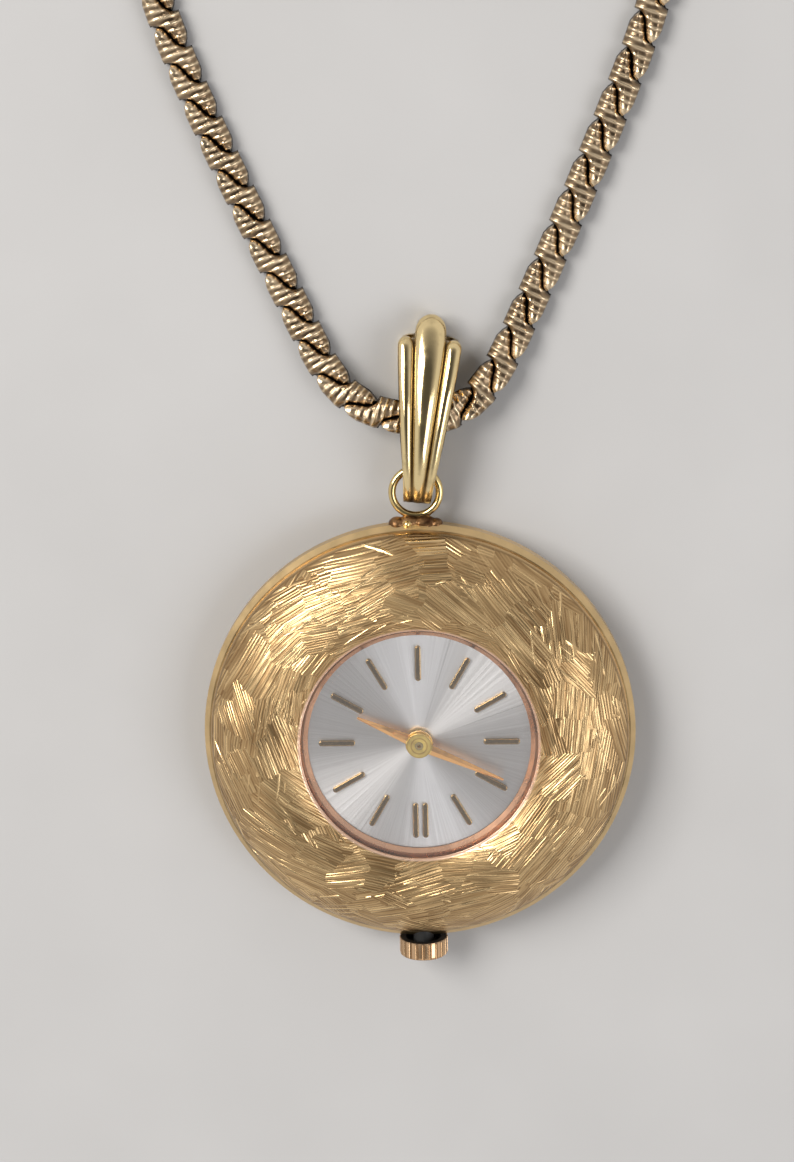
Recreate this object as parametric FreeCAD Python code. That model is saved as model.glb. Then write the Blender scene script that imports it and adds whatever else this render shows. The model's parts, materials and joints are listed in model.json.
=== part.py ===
"""Fob watch: a ladies' pendant watch on its chain, lying on its case back.

Frame, in millimetres: the origin is the centre of the flat case back, on the axis of the hands.
+Z points up through the dial, +Y points from the hands to the bow, the bail and the chain, and the
crown stands at -Y. The dial reads the right way up for a wearer who lifts the watch on its chain.
"""
import FreeCAD, Part
import math
import os
from FreeCAD import Vector

# ---------------------------------------------------------------- driving dimensions
FIT = 0.02                      # radial clearance of a running or sliding fit

# case
CASE_R = 15.0
BAND_BOTTOM, BAND_TOP = 1.55, 3.25
BEZEL_FOOT_R, BEZEL_CREST_R, BEZEL_CREST_Z = 14.5, 9.9, 6.55
OPENING_R, LIP_Z = 8.2, 5.72    # the bezel's inner edge and its underside
CRYSTAL_R, CRYSTAL_SEAT_Z = 8.72, 5.4
LIP_R = 12.9                    # the snap lip that stands up from the case back
BACK_FLAT_R = 11.2

# dial and hands
DIAL_R, DIAL_BOTTOM, DIAL_TOP = 9.6, 4.6, 5.0
DIAL_SEEN_R = 7.7
MARKER_IN, MARKER_OUT, MARKER_W, MARKER_H = 4.42, 6.95, 0.4, 0.2
TWELVE_GAP = 0.68               # between the two bars at twelve
HOUR_REACH, MINUTE_REACH = 4.65, 6.3
HOUR_HAND_Z, MINUTE_HAND_Z = 5.38, 5.66
CANNON_TIP_R = 0.27
HOURS, MINUTES = 3, 49          # the time at rest

# movement: the main plate is next to the dial, and the bridges face the case back
PLATE_R, PLATE_BOTTOM, PLATE_TOP = 9.87, 3.2, 4.56
RECESS_Z = 3.75                 # floor of the recess for the motion work
BRIDGE_BOTTOM, BRIDGE_TOP = 1.35, 1.85
BRIDGE_R, BRIDGE_SPLIT_Y = 9.7, 1.2
PIVOT_R = 0.08
BACKLASH = 0.035
BARREL_AT = (-3.78, -2.65)
CENTRE_AT = (0.0, 0.0)
THIRD_ANGLE, FOURTH_ANGLE, ESCAPE_ANGLE = 100.0, -12.0, -10.0
BALANCE_AT, BALANCE_R = (4.6, -3.6), 3.1
CROWN_WHEEL_AT = (1.9, -6.6)
BARREL_T, CENTRE_PINION_T, BARREL_BODY_R = 72, 12, 3.75
CENTRE_T, THIRD_PINION_T = 80, 10
THIRD_T, FOURTH_PINION_T = 75, 10
FOURTH_T, ESCAPE_PINION_T = 80, 8
ESCAPE_T = 15
CANNON_T, MINUTE_WHEEL_T, MINUTE_PINION_T, HOUR_WHEEL_T = 12, 36, 10, 40
SETTING_T, RATCHET_T, CROWN_WHEEL_T, WINDING_T = 20, 50, 36, 18
M_BARREL, M_CENTRE, M_THIRD, M_FOURTH, M_MOTION = 0.11, 0.09, 0.075, 0.065, 0.12

# crown and stem, on an axis along Y
STEM_Z, STEM_R, CROWN_TUBE_R = 2.55, 0.4, 0.74
CROWN_R, CROWN_NEAR, CROWN_FAR, CROWN_FLUTES = 1.7, 15.2, 16.5, 22

# bow, bail and chain
RING_Y, RING_Z, RING_R, RING_WIRE_R = 17.05, 2.2, 1.63, 0.26
BAIL_LEAN = -5.5                # degrees about Z, at the middle of the bow ring
BAIL_SHEET = 0.4
BAIL_SHIFT = 0.15               # the foot of the bail hangs a little to one side in the ring
CHAIN_W, CHAIN_T = 2.2, 1.2
CHAIN_LENGTH = 600.0
COIL_Y, COIL_PITCH, COIL_LAYER = 71.0, 2.25, 1.3
CHAIN_Z = CHAIN_T / 2
CLASP_R, CLASP_WIRE_R, CLASP_Z = 2.3, 0.5, 1.18
END_RING_R, END_RING_WIRE_R = 0.9, 0.18

# the chain's route from the lower coil layer to the upper one, through the bail
ROUTE = [
    (-16.9, 73.9, CHAIN_Z), (-17.9, 68.2, CHAIN_Z), (-18.3, 62.2, CHAIN_Z), (-17.8, 56.2, CHAIN_Z),
    (-16.6, 50.3, CHAIN_Z), (-14.9, 45.5, CHAIN_Z), (-13.0, 40.9, CHAIN_Z), (-11.1, 36.5, CHAIN_Z),
    (-9.15, 32.1, CHAIN_Z), (-7.2, 27.8, 0.75), (-5.9, 25.2, 1.2), (-4.1, 23.2, 1.75),
    (-1.2, 22.15, 2.12), (1.9, 22.1, 2.12), (4.3, 23.4, 1.75), (5.9, 25.6, 1.2),
    (7.2, 28.2, 0.75), (9.2, 32.5, CHAIN_Z), (11.25, 37.1, CHAIN_Z), (13.2, 41.7, CHAIN_Z),
    (15.1, 46.3, CHAIN_Z), (16.7, 50.9, CHAIN_Z), (17.8, 56.6, 0.7), (18.25, 62.4, 0.95),
    (18.0, 68.1, 1.45), (16.9, 73.9, CHAIN_Z + COIL_LAYER),
]

UP = Vector(0, 0, 1)
OUT = {}


# ---------------------------------------------------------------- small helpers
def at(pos, z=0.0):
    return Vector(pos[0], pos[1], z)


def polar(radius, degrees, centre=(0.0, 0.0)):
    a = math.radians(degrees)
    return (centre[0] + radius * math.cos(a), centre[1] + radius * math.sin(a))


def disc(radius, z0, z1, centre=(0, 0)):
    return Part.makeCylinder(radius, z1 - z0, at(centre, z0))


def ring(r_in, r_out, z0, z1, centre=(0, 0)):
    return disc(r_out, z0, z1, centre).cut(disc(r_in, z0 - 1, z1 + 1, centre))


def rod_y(radius, y0, y1, x=0.0, z=STEM_Z):
    return Part.makeCylinder(radius, abs(y1 - y0), Vector(x, min(y0, y1), z), Vector(0, 1, 0))


def box(x0, x1, y0, y1, z0, z1):
    return Part.makeBox(x1 - x0, y1 - y0, z1 - z0, Vector(x0, y0, z0))


def turned(profile):
    """A solid of revolution about Z from (radius, height) points."""
    wire = Part.makePolygon([Vector(r, 0, z) for r, z in profile + profile[:1]])
    return Part.Face(wire).revolve(Vector(0, 0, 0), UP, 360)


def plate(points, z0, z1):
    wire = Part.makePolygon([at(p, z0) for p in list(points) + [points[0]]])
    return Part.Face(wire).extrude(Vector(0, 0, z1 - z0))


def bar(a, b, width, z0, z1):
    """A straight bar with round ends from a to b."""
    length = math.dist(a, b)
    body = box(0, length, -width / 2, width / 2, z0, z1)
    body.rotate(Vector(0, 0, 0), UP, math.degrees(math.atan2(b[1] - a[1], b[0] - a[0])))
    body.translate(at(a))
    return body.fuse([disc(width / 2, z0, z1, a), disc(width / 2, z0, z1, b)]).removeSplitter()


def union(shapes):
    return shapes[0].fuse(shapes[1:]).removeSplitter()


def curve_points(points, steps):
    """Points along a smooth curve through the given ones."""
    spline = Part.BSplineCurve()
    spline.interpolate([Vector(x, y, 0) for x, y in points])
    ends = spline.FirstParameter, spline.LastParameter
    grid = [ends[0] + (ends[1] - ends[0]) * i / steps for i in range(steps + 1)]
    return [(p.x, p.y) for p in (spline.value(t) for t in grid)]


def save(name, shape):
    OUT[name] = shape


# ---------------------------------------------------------------- gears
def gear(teeth, module, z0, z1, centre, phase, bore=0.0):
    """A straight-sided wheel: one tooth points at the angle phase, in degrees."""
    pitch = teeth * module / 2
    half = (math.pi * module / 2 - BACKLASH) / 2 / pitch
    root, tip = pitch - 1.15 * module, pitch + 0.8 * module
    points = []
    for k in range(teeth):
        mid = math.radians(phase) + 2 * math.pi * k / teeth
        for radius, spread in ((root, -1.25), (tip, -0.45), (tip, 0.45), (root, 1.25)):
            a = mid + spread * half
            points.append((centre[0] + radius * math.cos(a), centre[1] + radius * math.sin(a)))
    wheel = plate(points, z0, z1)
    return wheel.cut(disc(bore, z0 - 1, z1 + 1, centre)) if bore else wheel


def mesh_phase(direction, phase_a, teeth_a, teeth_b):
    """The phase that puts wheel b, seen from wheel a at the angle direction, in mesh with it."""
    return direction + 180 + 180 / teeth_b + (direction - phase_a) * teeth_a / teeth_b


def direction(a, b):
    return math.degrees(math.atan2(b[1] - a[1], b[0] - a[0]))


def spoked(wheel, centre, r_in, r_out, z0, z1, spokes=4):
    """Cut the windows between a wheel's spokes."""
    window = ring(r_in, r_out, z0 - 0.1, z1 + 0.1, centre)
    arms = [bar(centre, polar(r_out + 0.5, 45 + 360 * k / spokes, centre), 0.35, z0 - 0.2, z1 + 0.2)
            for k in range(spokes)]
    return wheel.cut(window.cut(union(arms)))


def arbor(centre, z0, z1, shoulder0, shoulder1, radius=0.2):
    """A turned arbor with a fine pivot at each end."""
    return disc(PIVOT_R, z0, z1, centre).fuse(disc(radius, shoulder0, shoulder1, centre))


THIRD_AT = polar((CENTRE_T + THIRD_PINION_T) * M_CENTRE / 2, THIRD_ANGLE)
FOURTH_AT = polar((THIRD_T + FOURTH_PINION_T) * M_THIRD / 2, FOURTH_ANGLE, THIRD_AT)
ESCAPE_AT = polar((FOURTH_T + ESCAPE_PINION_T) * M_FOURTH / 2, ESCAPE_ANGLE, FOURTH_AT)
PALLET_AT = polar(2.35, direction(ESCAPE_AT, BALANCE_AT), ESCAPE_AT)
MOTION_GAP = (CANNON_T + MINUTE_WHEEL_T) * M_MOTION / 2
MINUTE_WHEEL_AT = polar(MOTION_GAP, -70)
M_HOUR = 2 * MOTION_GAP / (MINUTE_PINION_T + HOUR_WHEEL_T)
SETTING_AT = polar((MINUTE_WHEEL_T + SETTING_T) * M_MOTION / 2, -101, MINUTE_WHEEL_AT)
HAIRSPRING_END = polar(2.12, direction(CENTRE_AT, BALANCE_AT), BALANCE_AT)
M_RATCHET = 2 * math.dist(BARREL_AT, CROWN_WHEEL_AT) / (RATCHET_T + CROWN_WHEEL_T)

BRIDGE_SCREWS = {"barrel": [(-8.0, 0.2), (-5.8, -7.0)], "train": [(-6.5, 5.5), (6.8, 5.6), (0.0, 8.4)],
                 "cock": [(7.35, -5.75)], "pallet": [(7.6, 0.6)]}
SCREW_HEAD_R, SCREW_R, PILLAR_R = 0.5, 0.28, 0.7
STONES_IN_PLATE = [THIRD_AT, FOURTH_AT, ESCAPE_AT, PALLET_AT, BALANCE_AT, CENTRE_AT]
STONES_IN_BRIDGES = [CENTRE_AT, THIRD_AT, FOURTH_AT, ESCAPE_AT]
STONE_R, STONE_H = 0.42, 0.25


# ---------------------------------------------------------------- case
def case_parts():
    under = curve_points([(BACK_FLAT_R, 0.0), (13.2, 0.38), (14.55, 1.25)], 6)
    inside = curve_points([(12.2, 1.3), (11.6, 1.0), (10.4, 0.8)], 4)
    profile = [(0, 0)] + under + [(14.55, 1.5), (LIP_R, 1.5), (LIP_R, 2.1), (12.6, 2.1), (12.6, 1.5)]
    save("case_back", turned(profile + inside + [(0, 0.8)]))
    save("back_gasket", ring(LIP_R + 0.01, LIP_R + 0.28, 1.6, 1.9))

    tube_bore = rod_y(CROWN_TUBE_R, -12, -16)
    band = turned([(14.6, BAND_BOTTOM), (CASE_R, 1.95), (CASE_R, 2.85), (14.65, BAND_TOP), (13.9, BAND_TOP),
                   (13.9, 4.0), (13.2, 4.0), (13.2, BAND_BOTTOM)])
    save("case_band", band.cut(tube_bore))

    dome = curve_points([(BEZEL_FOOT_R, 3.75), (13.5, 4.95), (12.1, 5.95), (11.0, 6.42), (BEZEL_CREST_R, BEZEL_CREST_Z),
                         (8.9, 6.38), (OPENING_R, 5.92)], 18)
    hollow = curve_points([(9.9, 5.6), (11.2, 5.45), (12.5, 4.8), (13.2, 4.15)], 5)
    bezel = turned([(BEZEL_FOOT_R + 0.05, 3.3)] + dome + [(OPENING_R, LIP_Z), (CRYSTAL_R + 0.03, LIP_Z),
                   (CRYSTAL_R + 0.03, 5.08), (9.9, 5.08)] + hollow + [(13.95, 4.15), (13.95, 3.3)])
    save("bezel", bezel)
    save("rehaut_ring", turned([(DIAL_SEEN_R, 5.08), (CRYSTAL_R, 5.08), (CRYSTAL_R, 5.36), (8.0, 5.36)]))
    dome_top = curve_points([(OPENING_R - 0.05, LIP_Z - 0.02), (7.9, 5.95), (7.4, 6.12), (6.3, 6.27), (5.0, 6.37),
                             (3.4, 6.44), (1.7, 6.48), (0.0, 6.5)], 14)
    dome_under = curve_points([(0.0, 6.13), (1.7, 6.12), (3.4, 6.09), (5.0, 6.03), (6.3, 5.93), (7.1, 5.78),
                               (7.5, 5.62), (7.7, CRYSTAL_SEAT_Z)], 14)
    save("crystal", turned([(CRYSTAL_R, LIP_Z - 0.04)] + dome_top + dome_under + [(CRYSTAL_R, CRYSTAL_SEAT_Z)]))

    keyway = box(-1.3, 1.3, -13.1, -9, 1.4, 3.8)
    save("movement_ring", ring(PLATE_R + 0.05, 12.5, 1.75, 4.1).cut(keyway))
    tabs = [polar(10.2, a) for a in (35, 145, 250)]
    save("case_screws", Part.makeCompound([screw(t, 1.45, 1.73, 2.9) for t in tabs]))
    OUT["movement_ring"] = OUT["movement_ring"].cut(Part.makeCompound([disc(SCREW_R + FIT, 1.5, 2.95, t) for t in tabs]))


def screw(centre, head0, head1, tip):
    """A slotted screw whose head faces the case back."""
    head = disc(SCREW_HEAD_R, head0, head1, centre)
    slot = box(centre[0] - 0.6, centre[0] + 0.6, centre[1] - 0.06, centre[1] + 0.06, head0 - 0.1, head0 + 0.1)
    return head.fuse(disc(SCREW_R, head1, tip, centre)).cut(slot)


def bow_parts():
    torus = Part.makeTorus(RING_R, RING_WIRE_R, Vector(0, RING_Y, RING_Z))
    save("bow_ring", torus)
    block = box(-1.7, 1.5, 14.5, 15.4, 1.75, 2.75)
    lumps = [Part.makeSphere(0.42, Vector(x, 15.2, RING_Z)) for x in (-1.25, 1.15)]
    pad = block.fuse(lumps).cut(OUT["case_band"]).cut(disc(14.9, 0, 5)).cut(torus)
    save("bow_pad", max(pad.Solids, key=lambda s: s.Volume))


# ---------------------------------------------------------------- dial and hands
def dial_parts():
    save("dial", disc(DIAL_R, DIAL_BOTTOM, DIAL_TOP).cut(disc(0.8, 4, 6)))
    markers = []
    for hour in range(12):
        offsets = (-TWELVE_GAP / 2, TWELVE_GAP / 2) if hour == 0 else (0.0,)
        for shift in offsets:
            half = MARKER_W / 2
            m = bar((MARKER_IN + half, shift), (MARKER_OUT - half, shift), MARKER_W, DIAL_TOP, DIAL_TOP + MARKER_H)
            top = [e for e in m.Edges if e.BoundBox.ZMin > DIAL_TOP + MARKER_H - 0.01]
            m = m.makeFillet(0.09, top)
            m.rotate(Vector(0, 0, 0), UP, -90 - 30 * hour)
            markers.append(m)
    save("hour_markers", Part.makeCompound(markers))


def hand(reach, tail, half_width, z, angle, boss_r, boss_h, bore):
    """A slim tapered hand with a raised spine, on a round boss; angle is counterclockwise from +X."""
    thick, spine = 0.1, 0.09
    side = [(-tail, half_width * 0.55), (0.9, half_width), (reach, 0.07)]
    ridge = [(-tail, 0.0), (0.9, 0.0), (reach, 0.0)]
    strips = []
    for (x0, w0), (x1, w1), (s0, _), (s1, _) in ((side[0], side[1], ridge[0], ridge[1]),
                                                 (side[1], side[2], ridge[1], ridge[2])):
        low0 = [Vector(x0, -w0, z), Vector(x0, w0, z), Vector(x0, w0, z + thick),
                Vector(s0, 0, z + thick + spine), Vector(x0, -w0, z + thick)]
        low1 = [Vector(x1, -w1, z), Vector(x1, w1, z), Vector(x1, w1, z + thick),
                Vector(s1, 0, z + thick + spine), Vector(x1, -w1, z + thick)]
        strips.append(Part.makeLoft([Part.makePolygon(w + w[:1]) for w in (low0, low1)], True, True))
    body = union(strips + [disc(boss_r, z, z + boss_h)]).cut(disc(bore, z - 1, z + 2))
    body.rotate(Vector(0, 0, 0), UP, angle)
    return body


def motion_work():
    centre_to_minute = direction(CENTRE_AT, MINUTE_WHEEL_AT)
    minute_angle = -90 - 6 * MINUTES
    hour_angle = -90 - 30 * (HOURS + MINUTES / 60)
    save("hour_hand", hand(HOUR_REACH, 1.5, 0.36, HOUR_HAND_Z, hour_angle, 0.95, 0.2, 0.72))
    save("minute_hand", hand(MINUTE_REACH, 1.9, 0.34, MINUTE_HAND_Z, minute_angle, 0.86, 0.3, CANNON_TIP_R + FIT))

    cannon = gear(CANNON_T, M_MOTION, 3.8, 4.05, CENTRE_AT, centre_to_minute)
    cannon = cannon.fuse([disc(0.45, 4.05, MINUTE_HAND_Z - 0.02), disc(CANNON_TIP_R, 5, 5.98)])
    save("cannon_pinion", cannon.cut(disc(0.3 + FIT, 3, 5.5)).cut(disc(0.12, 3, 7)))
    minute_phase = mesh_phase(centre_to_minute, centre_to_minute, CANNON_T, MINUTE_WHEEL_T)
    wheel = gear(MINUTE_WHEEL_T, M_MOTION, 3.82, 4.0, MINUTE_WHEEL_AT, minute_phase)
    wheel = spoked(wheel, MINUTE_WHEEL_AT, 0.9, 1.7, 3.82, 4.0, 3)
    back = centre_to_minute + 180
    pinion = gear(MINUTE_PINION_T, M_HOUR, 4.0, 4.4, MINUTE_WHEEL_AT, back)
    save("minute_wheel", wheel.fuse(pinion).cut(disc(0.25 + FIT, 3, 5, MINUTE_WHEEL_AT)))
    hour_phase = mesh_phase(back, back, MINUTE_PINION_T, HOUR_WHEEL_T)
    hour = gear(HOUR_WHEEL_T, M_HOUR, 4.12, 4.35, CENTRE_AT, hour_phase).fuse(disc(0.7, 4.35, 5.56))
    save("hour_wheel", hour.cut(disc(0.45 + FIT, 3, 6)))
    turn = direction(MINUTE_WHEEL_AT, SETTING_AT)
    setting_phase = mesh_phase(turn, minute_phase, MINUTE_WHEEL_T, SETTING_T)
    save("setting_wheel", gear(SETTING_T, M_MOTION, 3.82, 4.0, SETTING_AT, setting_phase, 0.25 + FIT))


# ---------------------------------------------------------------- plates and bridges
def frame_parts():
    plate_body = disc(PLATE_R, PLATE_BOTTOM, PLATE_TOP)
    recess = [disc(2.6, RECESS_Z, 5, CENTRE_AT), disc(2.45, RECESS_Z, 5, MINUTE_WHEEL_AT),
              disc(1.55, RECESS_Z, 5, SETTING_AT), box(-3.6, 1.6, -9.35, -6.4, RECESS_Z, 5)]
    stem_slot = box(-1.25, 1.25, -10.2, -6.2, 2.9, 3.68)
    stem_hole = rod_y(STEM_R + FIT, -7, -5.9)
    studs = [disc(0.25, RECESS_Z - 0.01, 4.42, c) for c in (MINUTE_WHEEL_AT, SETTING_AT)]
    body = plate_body.cut(recess + [stem_slot, stem_hole, disc(0.32 + FIT, 3, 5)]).fuse(studs)
    holes = [disc(STONE_R, PLATE_BOTTOM - 0.01, PLATE_BOTTOM + STONE_H, c) for c in STONES_IN_PLATE]
    bores = [disc(0.12, 3, 3.7, c) for c in STONES_IN_PLATE]
    threads = [disc(SCREW_R + FIT, 3, 3.65, c) for group in BRIDGE_SCREWS.values() for c in group]
    arbor_hole = disc(0.5 + FIT, 3, 3.7, BARREL_AT)
    save("main_plate", body.cut(holes + bores + threads + [arbor_hole]).removeSplitter())

    rim = disc(BRIDGE_R, BRIDGE_BOTTOM, BRIDGE_TOP)
    lower = box(-12, 12, -12, BRIDGE_SPLIT_Y - 0.05, 1, 4)
    upper = box(-12, 12, BRIDGE_SPLIT_Y + 0.05, 12, 1, 4)
    outward = polar(2.9, direction(CENTRE_AT, BALANCE_AT), BALANCE_AT)
    balance_room = [disc(3.6, 1, 4, BALANCE_AT), disc(3.6, 1, 4, outward)]
    winding_room = box(-1.25, 1.25, -10.2, -6.2, 1, 3.3)
    pillars = {name: [disc(PILLAR_R, BRIDGE_TOP, PLATE_BOTTOM, c) for c in BRIDGE_SCREWS[name]]
               for name in ("barrel", "train")}

    def drilled(shape, name, stones):
        cuts = [disc(SCREW_R + FIT, 1, 3.3, c) for c in BRIDGE_SCREWS[name]]
        cuts += [disc(STONE_R, BRIDGE_TOP - STONE_H, BRIDGE_TOP + 0.01, c) for c in stones]
        cuts += [disc(0.12, 1, 2, c) for c in stones]
        return shape.cut(cuts).removeSplitter()

    barrel = rim.common(lower).cut(balance_room + [winding_room]).fuse(pillars["barrel"])
    barrel = max(barrel.Solids, key=lambda s: s.Volume).cut(disc(0.5 + FIT, 1, 2, BARREL_AT))
    core = disc(0.5, 1.0, BRIDGE_TOP - 0.1, CROWN_WHEEL_AT)
    save("barrel_bridge", drilled(barrel.fuse(core), "barrel", [CENTRE_AT]))
    train = rim.common(upper).fuse(pillars["train"])
    save("train_bridge", drilled(train, "train", [THIRD_AT, FOURTH_AT, ESCAPE_AT]))

    foot_at = BRIDGE_SCREWS["cock"][0]
    foot = disc(2.6, BRIDGE_BOTTOM, PLATE_BOTTOM, outward).common(disc(BRIDGE_R, 1, 4)).cut(disc(3.3, 1, 4, BALANCE_AT))
    arm = bar(BALANCE_AT, foot_at, 2.3, BRIDGE_BOTTOM, BRIDGE_TOP).common(disc(BRIDGE_R, 1, 4))
    seat = disc(0.62 + FIT, 1, 3, BALANCE_AT)
    stud = disc(0.14, BRIDGE_TOP - 0.2, 2.18, HAIRSPRING_END)
    cock = arm.fuse([foot, stud]).cut([seat, disc(SCREW_R + FIT, 1, 3.3, foot_at)])
    save("balance_cock", cock.removeSplitter())

    px, py = PALLET_AT
    foot_at = BRIDGE_SCREWS["pallet"][0]
    arm = bar((px - 0.35, py + 0.1), foot_at, 0.8, 2.3, 2.6)
    pallet = arm.fuse(disc(0.55, 2.6, PLATE_BOTTOM, foot_at))
    pallet = pallet.cut([disc(SCREW_R + FIT, 2, 3.3, foot_at), disc(PIVOT_R + FIT, 2, 3, PALLET_AT)])
    save("pallet_bridge", pallet.removeSplitter())

    screws = [screw(c, 1.08, BRIDGE_BOTTOM - 0.01, 3.6) for n in ("barrel", "train", "cock") for c in BRIDGE_SCREWS[n]]
    screws.append(screw(foot_at, 2.02, 2.29, 3.6))
    save("bridge_screws", Part.makeCompound(screws))
    rubies = [ring(PIVOT_R + FIT, STONE_R - 0.01, PLATE_BOTTOM, PLATE_BOTTOM + STONE_H - 0.02, c)
              for c in STONES_IN_PLATE if c != CENTRE_AT]
    rubies.append(ring(0.3 + FIT, STONE_R - 0.01, PLATE_BOTTOM, PLATE_BOTTOM + STONE_H - 0.02))
    rubies += [ring(PIVOT_R + FIT, STONE_R - 0.01, BRIDGE_TOP - STONE_H + 0.02, BRIDGE_TOP, c)
               for c in STONES_IN_BRIDGES]
    save("jewels", Part.makeCompound(rubies))
    setting = ring(0.2, 0.62, BRIDGE_BOTTOM - 0.2, BRIDGE_TOP, BALANCE_AT)
    stone = ring(PIVOT_R + FIT, 0.19, 1.6, 1.8, BALANCE_AT)
    cap = disc(0.19, 1.3, 1.55, BALANCE_AT)
    save("shock_setting", Part.makeCompound([setting, stone, cap]))


# ---------------------------------------------------------------- power and train
def train_parts():
    to_barrel = direction(CENTRE_AT, BARREL_AT)
    drum = disc(BARREL_BODY_R, 1.95, 2.75, BARREL_AT)
    teeth = gear(BARREL_T, M_BARREL, 2.45, 2.75, BARREL_AT, to_barrel + 180)
    room = disc(BARREL_BODY_R - 0.3, 2.1, 2.8, BARREL_AT)
    save("barrel_drum", drum.fuse(teeth).cut([room, disc(0.45 + FIT, 1, 3, BARREL_AT)]))
    save("barrel_cover", ring(0.45 + FIT, BARREL_BODY_R - 0.3 - FIT, 2.6, 2.74, BARREL_AT))
    arbor_body = disc(0.45, 1.35, 3.5, BARREL_AT).fuse(disc(0.8, 2.13, 2.57, BARREL_AT))
    square = box(-0.3, 0.3, -0.3, 0.3, 0.98, 1.35)
    square.translate(at(BARREL_AT))
    save("barrel_arbor", arbor_body.fuse(square).cut(disc(0.16, 0.9, 1.6, BARREL_AT)))
    save("mainspring", spiral(BARREL_AT, 0.95, 3.3, 2.15, 2.55, 9, 0.09))

    centre_pinion = gear(CENTRE_PINION_T, M_BARREL, 2.4, 2.85, CENTRE_AT,
                         mesh_phase(to_barrel + 180, to_barrel + 180, BARREL_T, CENTRE_PINION_T))
    wheel = spoked(gear(CENTRE_T, M_CENTRE, 2.95, 3.1, CENTRE_AT, THIRD_ANGLE), CENTRE_AT, 0.9, 3.0, 2.95, 3.1)
    staff = disc(PIVOT_R, 1.5, 2.0).fuse([disc(0.3, 1.95, 5.45)])
    save("center_wheel", union([centre_pinion, wheel, staff, disc(0.5, 2.85, 2.95)]))

    third_phase = mesh_phase(THIRD_ANGLE, THIRD_ANGLE, CENTRE_T, THIRD_PINION_T)
    third_wheel = gear(THIRD_T, M_THIRD, 2.0, 2.15, THIRD_AT, FOURTH_ANGLE)
    save("third_wheel", union([gear(THIRD_PINION_T, M_CENTRE, 2.85, 3.15, THIRD_AT, third_phase),
                               spoked(third_wheel, THIRD_AT, 0.6, 2.3, 2.0, 2.15),
                               arbor(THIRD_AT, 1.5, 3.45, 1.92, 3.17)]))
    fourth_phase = mesh_phase(FOURTH_ANGLE, FOURTH_ANGLE, THIRD_T, FOURTH_PINION_T)
    fourth_wheel = gear(FOURTH_T, M_FOURTH, 2.4, 2.55, FOURTH_AT, ESCAPE_ANGLE)
    save("fourth_wheel", union([gear(FOURTH_PINION_T, M_THIRD, 1.95, 2.25, FOURTH_AT, fourth_phase),
                                spoked(fourth_wheel, FOURTH_AT, 0.6, 2.2, 2.4, 2.55),
                                arbor(FOURTH_AT, 1.5, 3.45, 1.92, 3.17)]))
    escape_phase = mesh_phase(ESCAPE_ANGLE, ESCAPE_ANGLE, FOURTH_T, ESCAPE_PINION_T)
    save("escape_wheel", union([gear(ESCAPE_PINION_T, M_FOURTH, 2.3, 2.65, ESCAPE_AT, escape_phase),
                                spoked(escape_disc(), ESCAPE_AT, 0.5, 1.15, 2.75, 2.88),
                                arbor(ESCAPE_AT, 1.5, 3.45, 1.92, 3.17, 0.14)]))


def escape_disc():
    """Fifteen pointed club teeth on a thin rim, turned so that the pallets stand between two teeth."""
    points = []
    towards = direction(ESCAPE_AT, PALLET_AT)
    for k in range(ESCAPE_T):
        mid = towards + 12 + 24 * k
        for radius, shift in ((1.35, -12), (1.4, -4), (1.85, -1), (1.85, 1), (1.35, 2)):
            points.append(polar(radius, mid + shift, ESCAPE_AT))
    return plate(points, 2.75, 2.88)


def spiral(centre, r0, r1, z0, z1, turns, strip):
    """A flat spiral strip as one solid, from r0 out to r1."""
    steps = int(turns * 24)
    inner = [polar(r0 + (r1 - r0) * i / steps, 360 * turns * i / steps, centre) for i in range(steps + 1)]
    outer = [polar(r0 + strip + (r1 - r0) * i / steps, 360 * turns * i / steps, centre) for i in range(steps + 1)]
    return plate(inner + outer[::-1], z0, z1)


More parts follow.
